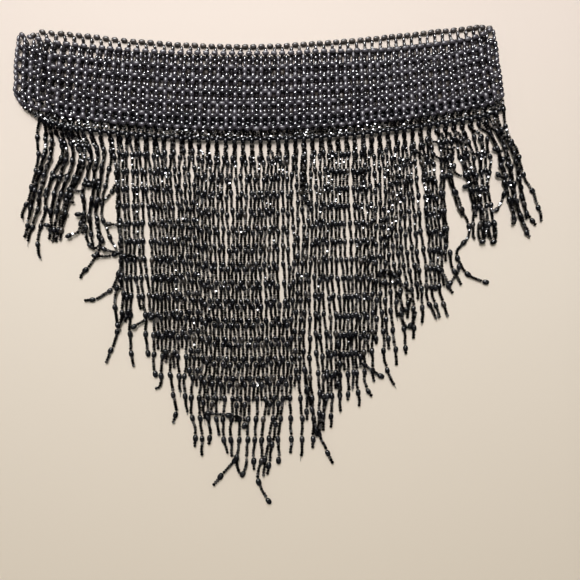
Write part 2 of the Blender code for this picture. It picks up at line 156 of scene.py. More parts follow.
gathers = [  # first and last column, the place they gather towards, and how strongly
    (4, 6, -135, -92, 0.60), (7, 9, -112, -96, 0.50), (10, 12, -90, -118, 0.40),
    (15, 17, -60, -150, 0.30), (39, 41, 79, -130, 0.25), (47, 48, 129, -96, 0.35),
    (52, 54, 160, -92, 0.65),
]
strays = {  # strands that lie their own way, from where they bend to the tip
    ("front", 0): [
        (-158, -36), (-156, -50), (-156, -62), (-157, -73), (-159, -86), (-163, -96), (-161, -102),
    ],
    ("front", 1): [
        (-149, -38), (-149, -45), (-152, -55), (-153, -67), (-155, -78), (-156, -92), (-158, -99),
        (-163, -113),
    ],
    ("front", 2): [
        (-143, -38), (-145, -46), (-147, -55), (-149, -67), (-151, -78), (-151, -92), (-154, -103),
        (-157, -112), (-157, -120),
    ],
    ("front", 3): [
        (-136, -40), (-138, -54), (-143, -66), (-147, -83), (-147, -97), (-149, -106), (-152, -117),
        (-149, -125), (-146, -130),
    ],
    ("front", 4): [(-133, -40), (-135, -52), (-138, -69), (-142, -86), (-142, -99), (-142, -115)],
    ("front", 5): [
        (-130, -40), (-130, -52), (-132, -68), (-136, -80), (-138, -90), (-139, -103), (-140, -117),
    ],
    ("front", 6): [
        (-125, -38), (-125, -52), (-125, -66), (-131, -80), (-133, -90), (-136, -103), (-137, -116),
    ],
    ("front", 7): [
        (-122, -41), (-122, -56), (-124, -63), (-129, -78), (-131, -90), (-134, -103), (-136, -115),
    ],
    ("front", 8): [
        (-118, -41), (-117, -56), (-119, -68), (-121, -80), (-119, -92), (-118, -102), (-119, -110),
    ],
    ("front", 9): [
        (-113, -41), (-112, -56), (-114, -66), (-113, -75), (-115, -92), (-115, -103), (-112, -115),
        (-109, -122),
    ],
    ("front", 10): [
        (-109, -41), (-108, -52), (-109, -66), (-110, -78), (-111, -92), (-110, -102), (-106, -115),
        (-112, -127), (-118, -139), (-118, -142),
    ],
    ("front", 11): [
        (-105, -41), (-102, -56), (-106, -70), (-107, -83), (-108, -92), (-105, -106), (-96, -117),
        (-92, -125),
    ],
    ("front", 12): [
        (-98, -41), (-97, -64), (-96, -83), (-97, -95), (-92, -130), (-88, -160), (-90, -178),
        (-97, -200),
    ],
    ("front", 13): [
        (-93, -47), (-92, -68), (-92, -83), (-89, -98), (-86, -122), (-83, -151), (-83, -180),
        (-79, -203),
    ],
    ("front", 16): [(-51, -192), (-57, -210), (-67, -217)],
    ("front", 17): [(-47, -202), (-48, -220), (-51, -240)],
    ("front", 24): [(-20, -240), (-14, -259)],
    ("front", 26): [(-7, -257), (-14, -266), (-24, -278)],
    ("front", 29): [(7, -264), (13, -289)],
    ("back", 30): [(12, -256), (2, -272)],
    ("back", 34): [(44, -248), (53, -265)],
    ("front", 40): [(70, -211), (78, -223)],
    ("front", 42): [(88, -203), (95, -217)],
    ("back", 46): [(118, -157), (129, -172)],
    ("front", 48): [(127, -140), (132, -169)],
    ("front", 49): [(133, -45), (134, -58), (132, -72), (130, -90), (131, -110), (130, -130)],
    ("back", 49): [(137, -42), (138, -56), (135, -68), (133, -82), (132, -100), (134, -120)],
    ("front", 50): [(137, -55), (137, -66), (139, -72), (144, -77), (149, -82), (153, -91), (157, -98)],
    ("back", 50): [
        (142, -42), (142, -56), (139, -66), (136, -76), (136, -92), (138, -120), (148, -141),
        (160, -146),
    ],
    ("front", 51): [(146, -48), (151, -71), (155, -90), (158, -102), (158, -115)],
    ("back", 51): [(149, -46), (153, -71), (156, -90), (152, -98)],
    ("front", 52): [(152, -48), (156, -71), (158, -90), (160, -102), (160, -116)],
    ("back", 52): [(156, -48), (158, -71), (160, -93), (160, -104), (160, -112)],
    ("front", 53): [(160, -48), (162, -71), (163, -90), (164, -102), (163, -114)],
    ("back", 53): [(165, -48), (165, -71), (166, -90), (168, -102), (167, -114)],
    ("front", 54): [
        (172, -34), (178, -47), (182, -57), (186, -71), (190, -81), (197, -92), (197, -104),
    ],
    ("back", 54): [(171, -48), (168, -71), (167, -90), (165, -104)],
    ("front", 55): [
        (175, -35), (179, -46), (181, -60), (182, -81), (184, -93), (190, -103), (194, -113),
    ],
    ("back", 55): [
        (177, -38), (181, -48), (183, -59), (184, -75), (185, -90), (187, -100), (192, -109),
    ],
    ("front", 56): [
        (178, -33), (181, -41), (187, -53), (189, -65), (190, -79), (191, -95), (190, -100),
    ],
    ("back", 56): [(180, -36), (185, -48), (186, -62), (187, -78), (188, -90), (192, -98), (196, -104)],
    ("front", 57): [
        (183, -40), (187, -47), (190, -56), (190, -64), (195, -76), (200, -86), (201, -101),
    ],
}
loops = [  # loose ends and links that lie over the fringe
    [(-106, -121), (-101, -123), (-91, -125)], [(-112, -127), (-103, -127), (-91, -125)],
    [(-131, -114), (-127, -112), (-122, -109), (-120, -99)], [(-126, -97), (-121, -97)],
    [(-104, -104), (-87, -105)], [(-147, -104), (-141, -106)],
    [(-117, -104), (-116, -115), (-110, -122), (-105, -116), (-109, -107)],
    [(-121, -71), (-116, -73), (-110, -71)], [(-120, -76), (-114, -74)],
    [(-112, -84), (-107, -87), (-102, -81), (-99, -75)], [(-126, -56), (-121, -58)],
    [(-135, -86), (-126, -88)], [(-145, -69), (-133, -68)], [(-121, -55), (-113, -57)],
    [(-133, -78), (-122, -80)], [(169, -47), (173, -48), (177, -50)],
    [(178, -53), (176, -60), (178, -67), (176, -82), (171, -92), (166, -95)],
    [(171, -65), (174, -69), (177, -68)], [(142, -58), (142, -65), (149, -68), (152, -64), (147, -58)],
    [(146, -77), (150, -76), (155, -73)],
    [(158, -102), (156, -109), (158, -117), (161, -110), (161, -102)],
    [(164, -102), (163, -109), (166, -117), (168, -110), (167, -102)],
    [(-31, -233), (-18, -234), (-6, -236)],
    [(-9, -258), (-9, -265), (-6, -272), (-3, -265), (-3, -257)], [(72, -200), (80, -206), (87, -210)],
    [(-91, -137), (-96, -149), (-102, -154), (-107, -157), (-115, -158)],
    [(-92, -147), (-94, -158), (-93, -166), (-91, -174), (-89, -179)],
    [(-82, -164), (-86, -169), (-90, -176)], [(-92, -128), (-84, -127), (-76, -130)],
    [(-82, -178), (-73, -172), (-65, -169)], [(85, -140), (91, -137), (98, -141)],
    [(86, -145), (92, -147), (98, -143), (94, -140), (87, -141)],
    [(97, -143), (103, -149), (109, -154)],
    [(99, -151), (100, -159), (102, -165), (105, -163), (107, -156)],
    [(99, -165), (101, -173), (104, -177), (108, -172), (110, -165)],
    [(135, -122), (136, -133), (139, -140), (142, -147)],
    [(141, -132), (140, -138), (136, -144), (133, -148)],
    [(125, -135), (131, -142), (133, -148), (136, -153)],
    [(161, -37), (163, -46), (161, -59), (161, -72), (158, -86)],
    [(167, -37), (167, -48), (169, -55), (167, -65), (164, -75), (162, -86)],
    [(123, -38), (124, -48), (121, -62), (123, -78), (120, -95), (121, -109)],
    [(34, -202), (36, -214), (38, -226), (41, -237), (42, -247)],
    [(49, -206), (50, -219), (47, -232), (44, -244)], [(65, -178), (66, -192), (67, -206), (66, -219)],
    [(57, -185), (58, -198), (57, -214), (58, -227)], [(34, -42), (36, -55), (34, -72), (36, -89)],
    [(78, -44), (79, -55), (77, -71), (79, -86)], [(122, -38), (129, -42), (136, -40)],
    [(131, -45), (139, -48), (146, -45)], [(141, -38), (148, -43), (156, -41)],
    [(125, -50), (133, -55), (141, -52)], [(147, -52), (154, -50), (161, -54)],
    [(112, -48), (119, -52), (126, -58)],
]
corner = [  # column, how far its knots lie to the right of the net's line, and below it
    (0, 7.0, 3.5), (2, 6.5, 3.0), (4, 5.0, 2.0), (6, 2.5, 1.0), (8, 0.0, 0.0),
]


def rootOf(column, layer):
    foot = netDepth() - fringe["stripHalf"] - fringe["seam"]
    return netX(column, foot), netY(column, netDepth() + fringe["stripHalf"], layer)


def tipYOf(column, layer):
    if (layer, column) in strays:
        return float(strays[layer, column][-1][1])
    length = rootOf(column, "front")[1] - between(hang, column, 2)
    if layer == "back":
        length *= fringe["backShare"]
    length *= 1.0 + fringe["ragged"][layer] * (scatter(column, 3.7) - fringe["shorter"])
    return rootOf(column, layer)[1] - max(length, fringe["shortest"])


def gathered(x, column, y):
    for first, last, toX, toY, pull in gathers:
        if first <= column <= last:
            rootY = rootOf(column, "front")[1]
            return x + pull * smooth((rootY - y) / (rootY - toY)) * (toX - x)
    return x


def hangingX(column, layer, y):  # where a strand would lie if it hung with its group
    rootX, rootY = rootOf(column, layer)
    depth = max(rootY - y, 0.0)
    fall = rootY - between(hang, column, 2)
    x = rootX + (between(hang, column, 1) - rootX) * (depth / fall) ** fringe["leanPower"]
    side = -1.0 if layer == "front" else 1.0
    x += side * fringe["splitWidth"] * smooth(depth / fringe["splitDepth"])
    ease = smooth(depth / fringe["loosen"]) * smooth(min(column, net["columns"] - column) / fringe["calm"])
    turn = depth / fringe["swayLength"] + rootX / fringe["swayAlong"]
    x += ease * fringe["swayWidth"] * math.sin(2.0 * math.pi * turn)
    turn = depth / fringe["wanderLength"] + 0.5 * scatter(column, fringe["wanderDraws"][layer])
    x += ease * fringe["wanderWidth"] * math.sin(2.0 * math.pi * turn)
    return gathered(x, column, y)


def freeX(column, layer, y):
    path = strays.get((layer, column))
    if not path:
        return hangingX(column, layer, y)
    firstX, firstY = path[0]
    if y > firstY:
        rootY = rootOf(column, layer)[1]
        share = smooth((rootY - y) / (rootY - firstY))
        return hangingX(column, layer, y) + share * (firstX - hangingX(column, layer, firstY))
    for (highX, highY), (lowX, lowY) in zip(path, path[1:]):
        if y >= lowY or (lowX, lowY) == path[-1]:
            return highX + (lowX - highX) * (highY - y) / (highY - lowY)


def spaceAfter(column):
    if column < fringe["paired"]:
        return fringe["pairedSpace"]
    if column < fringe["bundleLeft"] or column > fringe["bundleRight"]:
        return fringe["bundleSpace"]
    return fringe["nearSpace"] if column > fringe["nearRight"] else fringe["space"]


def spread(places, spaces):  # neighbours pushed apart until each pair has its least distance
    places = list(places)
    for _ in range(fringe["spreadRounds"]):
        for i in range(len(places) - 1):
            lack = max(0.0, spaces[i] - (places[i + 1] - places[i]))
            places[i] -= 0.5 * lack
            places[i + 1] += 0.5 * lack
    for i in range(len(places) - 1):
        places[i + 1] = max(places[i + 1], places[i] + spaces[i])
    return places


def cutAt(route, tipY):
    kept = [p for p in route if p[1] > tipY + fringe["lastLevel"]]
    low = route[len(kept)] if len(kept) < len(route) else route[-1]
    high = kept[-1]
    share = (high[1] - tipY) / (high[1] - low[1]) if high[1] != low[1] else 0.0
    return kept + [(high[0] + share * (low[0] - high[0]), tipY)]


def hidden(strand):  # near the left fold a back strand lies right behind its front one
    return strand[0] == "back" and strand[1] <= fringe["paired"]


def strandRoutes():  # each strand's points, from its knot's lower edge to its tip, by layer and column
    strands = [("front", c) for c in range(net["columns"] + 1)]
    strands += [("back", c) for c in range(1, net["columns"])]
    strands.sort(key=lambda strand: strand[1] + fringe["order"][strand[0]])
    levels = [fringe["levelTop"] - fringe["levelStep"] * k for k in range(fringe["levels"])]
    roots = {s: rootOf(s[1], s[0]) for s in strands}
    tips = {s: tipYOf(s[1], s[0]) for s in strands}
    placed = {s: [roots[s]] for s in strands}
    for k, y in enumerate(levels):
        above = levels[k - 1] if k else y + fringe["levelStep"]
        here = [s for s in strands
                if roots[s][1] - fringe["firstLevel"] > y and tips[s] < above and not hidden(s)]
        free = [freeX(c, layer, y) for layer, c in here]
        for s, x in zip(here, spread(free, [spaceAfter(c) for _, c in here])):
            placed[s].append((x, y))
    for s in filter(hidden, strands):
        placed[s] = [roots[s]]
        for x, y in placed["front", s[1]][1:]:
            if y < roots[s][1] - fringe["firstLevel"]:
                placed[s].append((x + fringe["behind"] * (x - fringe["seenFrom"]), y))
    return {s: cutAt(placed[s], tips[s]) for s in strands}


# Beads. Each is one closed ring mesh, and a piece is all of its beads joined.
beadShapes = {  # a ring is its place along the half length, and its share of the radius
    "net": {
        "sides": 10, "hole": 0.86,
        "rings": [
            (-1.0, 0.34), (-0.88, 0.62), (-0.55, 0.92), (0.0, 1.0),
            (0.55, 0.92), (0.88, 0.62), (1.0, 0.34),
        ],
    },
    "oval": {
        "sides": 8, "hole": 0.84,
        "rings": [(-1.0, 0.36), (-0.78, 0.76), (-0.3, 1.0), (0.3, 1.0), (0.78, 0.76), (1.0, 0.36)],
    },
    "seed": {
        "sides": 6, "hole": 0.8,
        "rings": [(-1.0, 0.4), (-0.45, 1.0), (0.45, 1.0), (1.0, 0.4)],
    },
}


def beadTemplate(shape):  # unit bead along Z, closed by an inset middle at each hole
    sides, rings, hole = shape["sides"], shape["rings"], shape["hole"]
    points = [(r * math.cos(2 * math.pi * k / sides), r * math.sin(2 * math.pi * k / sides), t)
              for t, r in rings for k in range(sides)]
    faces = []
    for ring in range(len(rings) - 1):
        for k in range(sides):
            a, b = ring * sides + k, ring * sides + (k + 1) % sides
            faces.append((a, b, b + sides))
            faces.append((a, b + sides, a + sides))
    low, high, last = len(points), len(points) + 1, (len(rings) - 1) * sides
    points += [(0.0, 0.0, -hole), (0.0, 0.0, hole)]
    for k in range(sides):
        faces.append((low, (k + 1) % sides, k))
        faces.append((high, last + k, last + (k + 1) % sides))
    return np.array(points), np.array(faces)


def beadArray(name, shape, beads, material, smoothShade):
    # beads is rows of: middle x y z, axis x y z, length, diameter, roll, tone
    template, triangles = beadTemplate(beadShapes[shape])
    beads = np.array(beads, dtype=float)
    middle, axis = beads[:, 0:3], beads[:, 3:6]
    axis = axis / np.linalg.norm(axis, axis=1)[:, None]
    helper = np.where(np.abs(axis[:, 2:3]) < 0.9, [[0.0, 0.0, 1.0]], [[1.0, 0.0, 0.0]])
    side = np.cross(axis, helper)
    side /= np.linalg.norm(side, axis=1)[:, None]
    other = np.cross(axis, side)
    turn = beads[:, 8:9]
    across = side * np.cos(turn) + other * np.sin(turn)
    upward = other * np.cos(turn) - side * np.sin(turn)
    radius, half = 0.5 * beads[:, 7], 0.5 * beads[:, 6]
    points = (middle[:, None, :]
              + across[:, None, :] * (template[None, :, 0:1] * radius[:, None, None])
              + upward[:, None, :] * (template[None, :, 1:2] * radius[:, None, None])
              + axis[:, None, :] * (template[None, :, 2:3] * half[:, None, None]))
    count, each = len(beads), len(template)
    faces = triangles[None, :, :] + (np.arange(count) * each)[:, None, None]
    tones = np.repeat(beads[:, 9], each)
    return meshPiece(name, points.reshape(-1, 3) * mm, faces.reshape(-1, 3), tones, material, smoothShade)


def meshPiece(name, points, triangles, tones, material, smoothShade):
    mesh = bpy.data.meshes.new(name)
    mesh.vertices.add(len(points))
    mesh.vertices.foreach_set("co", np.asarray(points, dtype=np.float32).ravel())
    mesh.loops.add(3 * len(triangles))
    mesh.loops.foreach_set("vertex_index", np.asarray(triangles, dtype=np.int32).ravel())
    mesh.polygons.add(len(triangles))
    mesh.polygons.foreach_set("loop_start", np.arange(0, 3 * len(triangles), 3, dtype=np.int32))
    mesh.polygons.foreach_set("use_smooth", np.full(len(triangles), smoothShade))
    mesh.update(calc_edges=True)
    tone = mesh.attributes.new("tone", "FLOAT", "POINT")
    tone.data.foreach_set("value", np.asarray(tones, dtype=np.float32))
    mesh.materials.append(material)
    piece = bpy.data.objects.new(name, mesh)
    bpy.context.scene.collection.objects.link(piece)
    return piece


def threadPiece(name, runs, thickness, material):  # three-sided tubes along runs of points
    points, triangles = [], []
    for run in runs:
        run = np.asarray(run, dtype=float)
        along = np.gradient(run, axis=0)
        along /= np.linalg.norm(along, axis=1)[:, None]
        side = np.cross(along, [0.0, 0.0, 1.0])
        side /= np.maximum(np.linalg.norm(side, axis=1), 1e-6)[:, None]
        other = np.cross(along, side)
        start = len(points)
        for k in range(len(run)):
            for edge in range(3):
                angle = 2 * math.pi * edge / 3
                offset = side[k] * math.cos(angle) + other[k] * math.sin(angle)
                points.append(run[k] + offset * 0.5 * thickness)
        for k in range(len(run) - 1):
            for edge in range(3):
                a, b = start + 3 * k + edge, start + 3 * k + (edge + 1) % 3
                triangles += [(a, b, b + 3), (a, b + 3, a + 3)]
        end = start + 3 * (len(run) - 1)
        triangles += [(start, start + 2, start + 1), (end, end + 1, end + 2)]
    return meshPiece(name, np.array(points) * mm, np.array(triangles), np.zeros(len(points)), material, True)


# Finishes. Glass beads, near black, that differ a little from bead to bead, with a painted sparkle on the
# palest few.
def addSocket(group, name, way, kind, value=None):
    socket = group.interface.new_socket(name=name, in_out=way, socket_type=kind)
    if value is not None:
        socket.default_value = value
    return socket


def beadVarietyGroup():  # colour and gloss that change from bead to bead, with a fine film of wear
    group = bpy.data.node_groups.new("beadVariety", "ShaderNodeTree")
    addSocket(group, "Dark", "INPUT", "NodeSocketColor", (0.012, 0.012, 0.016, 1))
    addSocket(group, "Slate", "INPUT", "NodeSocketColor", (0.035, 0.035, 0.045, 1))
    addSocket(group, "Glint", "INPUT", "NodeSocketColor", (0.09, 0.06, 0.035, 1))
    addSocket(group, "Glint From", "INPUT", "NodeSocketFloat", 0.85)
    addSocket(group, "Gloss", "INPUT", "NodeSocketFloat", 0.12)
    addSocket(group, "Film", "INPUT", "NodeSocketFloat", 0.12)
    addSocket(group, "Soft", "INPUT", "NodeSocketFloat", 0.0)
    addSocket(group, "Color", "OUTPUT", "NodeSocketColor")
    addSocket(group, "Roughness", "OUTPUT", "NodeSocketFloat")
    nodes, links = group.nodes, group.links
    inside, outside = nodes.new("NodeGroupInput"), nodes.new("NodeGroupOutput")
    tone = nodes.new("ShaderNodeAttribute")
    tone.attribute_name = "tone"
    place = nodes.new("ShaderNodeTexCoord")
    noise = nodes.new("ShaderNodeTexNoise")
    noise.inputs["Scale"].default_value = 620.0
    noise.inputs["Detail"].default_value = 3.0
    links.new(place.outputs["Object"], noise.inputs["Vector"])
    body = nodes.new("ShaderNodeMix")
    body.data_type = "RGBA"
    links.new(tone.outputs["Fac"], body.inputs["Factor"])
    links.new(inside.outputs["Dark"], body.inputs["A"])
    links.new(inside.outputs["Slate"], body.inputs["B"])
    # painted sparkle: from Glint From on, the colour is mixed towards the Glint colour, painting a glint on
    # the palest beads
    over = nodes.new("ShaderNodeMapRange")
    links.new(tone.outputs["Fac"], over.inputs["Value"])
    links.new(inside.outputs["Glint From"], over.inputs["From Min"])
    glint = nodes.new("ShaderNodeMix")
    glint.data_type = "RGBA"
    links.new(over.outputs["Result"], glint.inputs["Factor"])
    links.new(body.outputs["Result"], glint.inputs["A"])
    links.new(inside.outputs["Glint"], glint.inputs["B"])
    film = nodes.new("ShaderNodeMath")
    film.operation = "MULTIPLY_ADD"
    links.new(noise.outputs["Fac"], film.inputs[0])
    links.new(inside.outputs["Film"], film.inputs[1])
    links.new(inside.outputs["Gloss"], film.inputs[2])
    square = nodes.new("ShaderNodeMath")
    square.operation = "MULTIPLY"
    links.new(tone.outputs["Fac"], square.inputs[0])
    links.new(tone.outputs["Fac"], square.inputs[1])
    soft = nodes.new("ShaderNodeMath")
    soft.operation = "MULTIPLY_ADD"
    links.new(square.outputs["Value"], soft.inputs[0])
    links.new(inside.outputs["Soft"], soft.inputs[1])
    links.new(film.outputs["Value"], soft.inputs[2])
    links.new(glint.outputs["Result"], outside.inputs["Color"])
    links.new(soft.outputs["Value"], outside.inputs["Roughness"])
    return group


def pressedGroup():  # the uneven skin of pressed glass, as a normal
    group = bpy.data.node_groups.new("pressedGlass", "ShaderNodeTree")
    addSocket(group, "Scale", "INPUT", "NodeSocketFloat", 900.0)
    addSocket(group, "Depth", "INPUT", "NodeSocketFloat", 0.00006)
    addSocket(group, "Normal", "OUTPUT", "NodeSocketVector")
    nodes, links = group.nodes, group.links
    inside, outside = nodes.new("NodeGroupInput"), nodes.new("NodeGroupOutput")
    place = nodes.new("ShaderNodeTexCoord")
    noise = nodes.new("ShaderNodeTexNoise")
    noise.inputs["Detail"].default_value = 1.5
    links.new(place.outputs["Object"], noise.inputs["Vector"])
    links.new(inside.outputs["Scale"], noise.inputs["Scale"])
    bump = nodes.new("ShaderNodeBump")
    bump.inputs["Strength"].default_value = 1.0
    links.new(inside.outputs["Depth"], bump.inputs["Distance"])
    links.new(noise.outputs["Fac"], bump.inputs["Height"])
    links.new(bump.outputs["Normal"], outside.inputs["Normal"])
    return group


variety, pressed = beadVarietyGroup(), pressedGroup()


def beadGlass(name, look):
    material = bpy.data.materials.new(name)
    material.use_nodes = True
    nodes, links = material.node_tree.nodes, material.node_tree.links
    shader = nodes["Principled BSDF"]
    shader.inputs["IOR"].default_value = 1.56
    shader.inputs["Specular IOR Level"].default_value = look["shine"]
    colours = nodes.new("ShaderNodeGroup")
    colours.node_tree = variety
    for socket in ("Dark", "Slate", "Glint"):
        colours.inputs[socket].default_value = (*look[socket.lower()], 1)
    for socket in ("Gloss", "Film", "Soft"):
        colours.inputs[socket].default_value = look[socket.lower()]
    colours.inputs["Glint From"].default_value = look["glintFrom"]
    links.new(colours.outputs["Color"], shader.inputs["Base Color"])
    links.new(colours.outputs["Roughness"], shader.inputs["Roughness"])
    skin = nodes.new("ShaderNodeGroup")
    skin.node_tree = pressed
    skin.inputs["Depth"].default_value = look["depth"]
    links.new(skin.outputs["Normal"], shader.inputs["Normal"])
    return material


# Bead colours run from dark to slate with each bead's tone, and from glintFrom on towards glint, a painted
# sparkle standing in for glints and light through the glass.
# Roughness is gloss with up to film of wear, and soft more for the palest beads.
netLook = {
    "dark": (0.018, 0.016, 0.021), "slate": (0.064, 0.055, 0.074),
    "glint": (0.09, 0.08, 0.10), "glintFrom": 0.9,
    "gloss": 0.06, "film": 0.12, "soft": 0.35, "depth": 0.00006, "shine": 0.42,
}
backLook = {
    "dark": (0.012, 0.010, 0.012), "slate": (0.056, 0.047, 0.052),
    "glint": (0.07, 0.055, 0.045), "glintFrom": 0.85,
    "gloss": 0.06, "film": 0.12, "soft": 0.35, "depth": 0.00006, "shine": 0.35,
}
ovalLook = {
    "dark": (0.001, 0.001, 0.002), "slate": (0.008, 0.008, 0.011),
    "glint": (0.04, 0.032, 0.025), "glintFrom": 0.92,
    "gloss": 0.05, "film": 0.03, "soft": 0.22, "depth": 0.00005, "shine": 0.2,
}
# the seeds' glint colour paints a sparkle on about one seed in five
seedLook = {
    "dark": (0.001, 0.001, 0.001), "slate": (0.004, 0.003, 0.003),
    "glint": (0.14, 0.13, 0.125), "glintFrom": 0.82,
    "gloss": 0.05, "film": 0.03, "soft": 0.06, "depth": 0.0001, "shine": 0.38,
}
netGlass = beadGlass("netGlass", netLook)
backGlass = beadGlass("backNetGlass", backLook)
ovalGlass = beadGlass("fringeOvalGlass", ovalLook)
knotGlass = beadGlass("knotSeedGlass", {**seedLook, "shine": 0.24})
seedGlass = beadGlass("fringeSeedGlass", seedLook)

threadLook = {
    "dark": (0.010, 0.009, 0.009), "light": (0.035, 0.030, 0.028), "rough": (0.55, 0.75),
    "sheen": 0.3, "plies": 900.0, "uneven": 2.0,
}


def threadFinish():
    material = bpy.data.materials.new("waxedThread")
    material.use_nodes = True
    nodes, links = material.node_tree.nodes, material.node_tree.links
    shader = nodes["Principled BSDF"]
    shader.inputs["Sheen Weight"].default_value = threadLook["sheen"]
    place = nodes.new("ShaderNodeTexCoord")
    ply = nodes.new("ShaderNodeTexWave")
    ply.inputs["Scale"].default_value = threadLook["plies"]
    ply.inputs["Distortion"].default_value = threadLook["uneven"]
    ramp = nodes.new("ShaderNodeValToRGB")
    ramp.color_ramp.elements[0].color = (*threadLook["dark"], 1)
    ramp.color_ramp.elements[1].color = (*threadLook["light"], 1)
    rough = nodes.new("ShaderNodeMapRange")
    rough.inputs["To Min"].default_value = threadLook["rough"][0]
    rough.inputs["To Max"].default_value = threadLook["rough"][1]
    links.new(place.outputs["Object"], ply.inputs["Vector"])
    links.new(ply.outputs["Fac"], ramp.inputs["Fac"])
    links.new(ply.outputs["Fac"], rough.inputs["Value"])
    links.new(ramp.outputs["Color"], shader.inputs["Base Color"])
    links.new(rough.outputs["Result"], shader.inputs["Roughness"])
    return material


threadMaterial = threadFinish()
print("finishes ready")

# The net: one bead along each window's top, two down each side.
netBead = {
    "length": 4.7, "width": 3.6, "stack": (0.266, 0.736), "threadWidth": 0.4,
    "slim": 0.66, "foldSlim": 0.85, "foldSides": 2,   # narrower beads beside the top windows, and at the fold
    # the top row and the fold beads take a pale tone: rougher glass, and painted paler towards the glint
    # colour, standing in for their soft highlight and the light through the glass
    "tilt": 0.18, "sizeDrift": 0.04, "paleTone": 0.9, "paleSpan": 0.1,
    "nodeDrift": 0.42, "foldDrift": 1.0, "foldColumns": 7.0, "foldRise": 0.4, "heightShare": 0.25,
    "driftDraws": {"front": 40.0, "back": 60.0, "fold": 50.0},
    "tuck": 1.7, "tuckAt": 37.0, "tuckReach": 9.0,    # the left fold is drawn in a little at one height
}


def netNode(column, row, layer):  # where the thread's crossings lie
    fromFold = min(column, net["columns"] - column)
    pitch = net["rowPitch"]
    if layer == "back":
        pitch += min(1.0, fromFold / net["closerOver"]) * (net["backRowPitch"] - net["rowPitch"])
    down = row * pitch
    shared = fromFold == 0 or column == 1   # at the folds the layers keep in step
    draw = netBead["driftDraws"]["fold" if shared else layer]
    left = smooth(1.0 - column / netBead["foldColumns"])
    drift = netBead["nodeDrift"] + left * smooth(netBead["foldRise"] * column) * netBead["foldDrift"]
    x = netX(column, down) + slipped(column, layer) + drift * scatter(column + draw, row + 1.3)
    x += netBead["tuck"] * math.exp(-((down - netBead["tuckAt"]) / netBead["tuckReach"]) ** 2) * left
    y = netY(column, down, "front" if shared else layer) + drift * scatter(column + draw, row + 7.7)
    z = netZ(column, layer)
    if fromFold > 0:
        z += netBead["heightShare"] * drift * scatter(column + draw, row + 3.1)
    return np.array((x, y, z))


def netBeads(layer):
    beads, runs = [], []
    columns, rows = net["columns"], net["rows"]
    nodes = {(c, r): netNode(c, r, layer) for c in range(columns + 1) for r in range(rows)}
    draw = 1.0 if layer == "front" else 2.0

    def bead(a, b, share, c, r, lift=0.0, slim=1.0, pale=False):
        axis = b - a
        middle = a + axis * share + np.array((0.0, lift, 0.0))
        lean = np.array((scatter(c, r + draw), scatter(r, c + draw), 0.5 * scatter(c + r, draw)))
        axis = axis / np.linalg.norm(axis) + netBead["tilt"] * lean
        tone = 0.5 + 0.5 * scatter(c * 1.7 + draw, r * 3.3)
        # painted highlight: pale beads are painted lighter, and their high tone also makes them rougher
        if pale:
            tone = netBead["paleTone"] + netBead["paleSpan"] * tone
        size = 1.0 + netBead["sizeDrift"] * scatter(r * 2.1, c + draw)
        width = netBead["width"] * slim
        beads.append((*middle, *axis, netBead["length"] * size, width * size, scatter(c, r), tone))

    for r in range(rows):
        lift = net["picotRise"] if r == 0 else 0.0
        for c in range(columns):
            a, b = nodes[c, r], nodes[c + 1, r]
            # the top row's beads are painted pale, a painted soft highlight
            bead(a, b, 0.5, c, r, lift=lift, pale=r == 0)
            runs.append((a, 0.5 * (a + b) + np.array((0.0, lift, 0.0)), b))
    first, last = (0, columns + 1) if layer == "front" else (1, columns)
    for c in range(first, last):
        for r in range(rows - 1):
            slim = netBead["foldSlim"] if c < netBead["foldSides"] else 1.0
            if r == 0:
                slim = netBead["slim"]
            for k, share in enumerate(netBead["stack"]):
                down = r + 0.5 * k + 0.21
                # the fold column's beads are painted pale as well, a painted soft highlight
                bead(nodes[c, r], nodes[c, r + 1], share, c + 0.37, down, slim=slim, pale=c == 0)
        runs.append([nodes[c, r] for r in range(rows)])
    return beads, runs


pieces = {}
for layer, material in (("front", netGlass), ("back", backGlass)):
    beads, threads = netBeads(layer)
    pieces[layer + "Net"] = beadArray(layer + "_net_beads", "net", beads, material, True)
    pieces[layer + "NetThread"] = threadPiece(
        layer + "_net_thread", threads, netBead["threadWidth"], threadMaterial)
    print(layer, "net:", len(beads), "beads")

# The fringe: a large oval bead, then five small seeds, over and over.
strand = {
    "ovalLength": 4.4, "ovalWidth": 3.3, "seedLength": 1.66, "seedWidth": 2.2, "seeds": 5,
    "repeat": 13.2, "seedPitch": 1.005,
    "lastOval": 0.4,                        # thread left past the last oval's middle, in shares of it
    "step": 1.1, "threadWidth": 0.4, "lean": 0.12, "leanOver": 0.8, "sizeDrift": 0.05, "roll": 3.0,
    "together": 13.0, "togetherDrift": 0.5, "backStraight": 0.4,   # how far a pair hangs as one from its knot
    "wiggle": 0.25, "wiggleLength": 17.0, "wiggleFrom": 12.0, "ripple": 0.6, "rippleLength": 0.43,
    "floorZ": 1.68, "fallOver": 16.0,
    "over": 2.2, "clear": 2.5, "even": 5,   # a strand rises by over where it crosses one nearer than clear
    "knotDrop": 1.0, "barRises": {"front": (1.5,), "back": (1.5, 4.7, 7.9)},
    "barTone": 0.85, "barToneDrift": 0.05,
    "legSeeds": 3, "legStretch": 1.1,
    "legTop": 0.45, "legFoot": 0.45,        # clear of the net bead and of the knot, in shares of them
    "loopDraw": 80.0, "loopStart": 3.0,
}


def lengthAlong(run):
    return np.concatenate(([0.0], np.cumsum(np.linalg.norm(np.diff(run, axis=0), axis=1))))


def evened(run, step):
    length = lengthAlong(run)
    places = np.linspace(0.0, length[-1], max(3, int(length[-1] / step) + 1))
    return np.stack([np.interp(places, length, run[:, k]) for k in range(run.shape[1])], 1)


